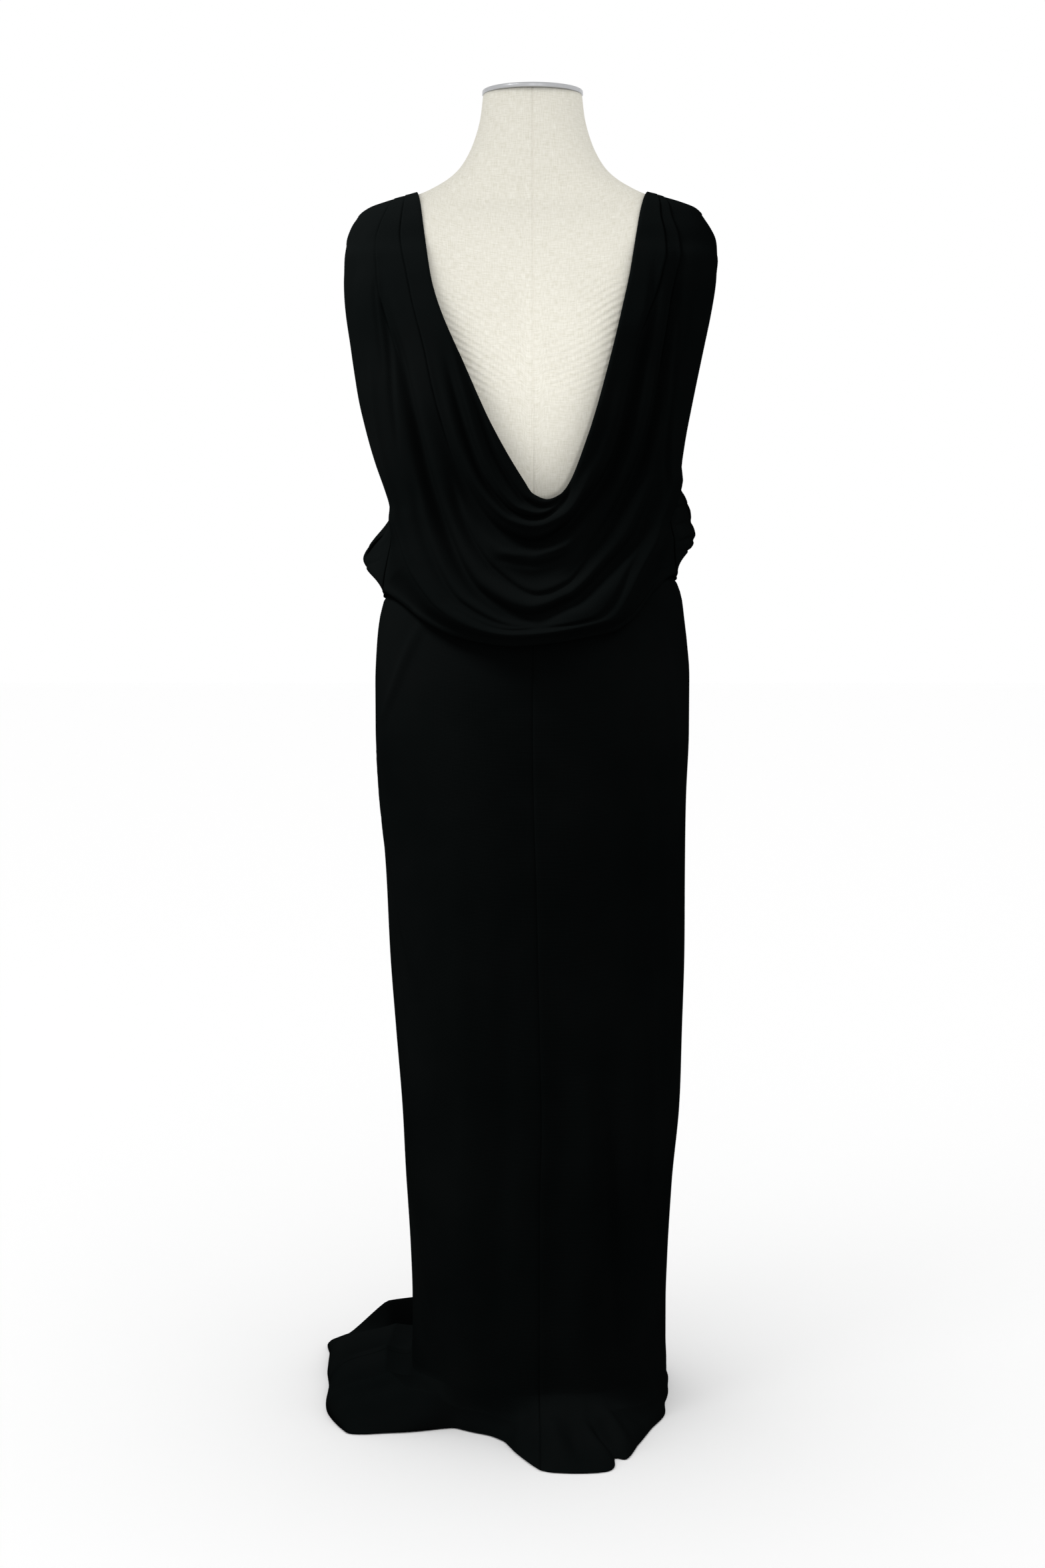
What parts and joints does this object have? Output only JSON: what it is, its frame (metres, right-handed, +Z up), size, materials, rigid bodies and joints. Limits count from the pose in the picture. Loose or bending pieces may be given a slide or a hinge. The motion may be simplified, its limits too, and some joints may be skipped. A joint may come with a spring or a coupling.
{
  "type": "maxi dress on dress form",
  "caption": "Sleeveless floor-length jersey dress with a deep draped back, a bloused waist and a spreading hem, standing on a limbless linen dress form with a pole and a round base.",
  "frame": {"origin": "centre of the flat underside of the form's round base, on the floor", "axes": "+Z up along the stand's pole, +X to the right of someone who looks at the draped back, +Y from the draped back towards the front of the dress"},
  "size_m": [0.433, 0.4784, 1.4693],
  "materials": {
    "form_linen": "matt cream linen cover",
    "cap_metal": "satin",
    "stand_metal": "satin black powder coat",
    "dress_jersey": "matt black knitted jersey"
  },
  "bodies": {
    "root": {"form_torso": "form_linen", "form_neck_cap": "cap_metal", "form_pole": "stand_metal", "form_base": "stand_metal", "back_bodice": "dress_jersey", "front_bodice": "dress_jersey", "skirt_back_left": "dress_jersey", "skirt_back_right": "dress_jersey", "skirt_front": "dress_jersey"}
  },
  "joints": []
}
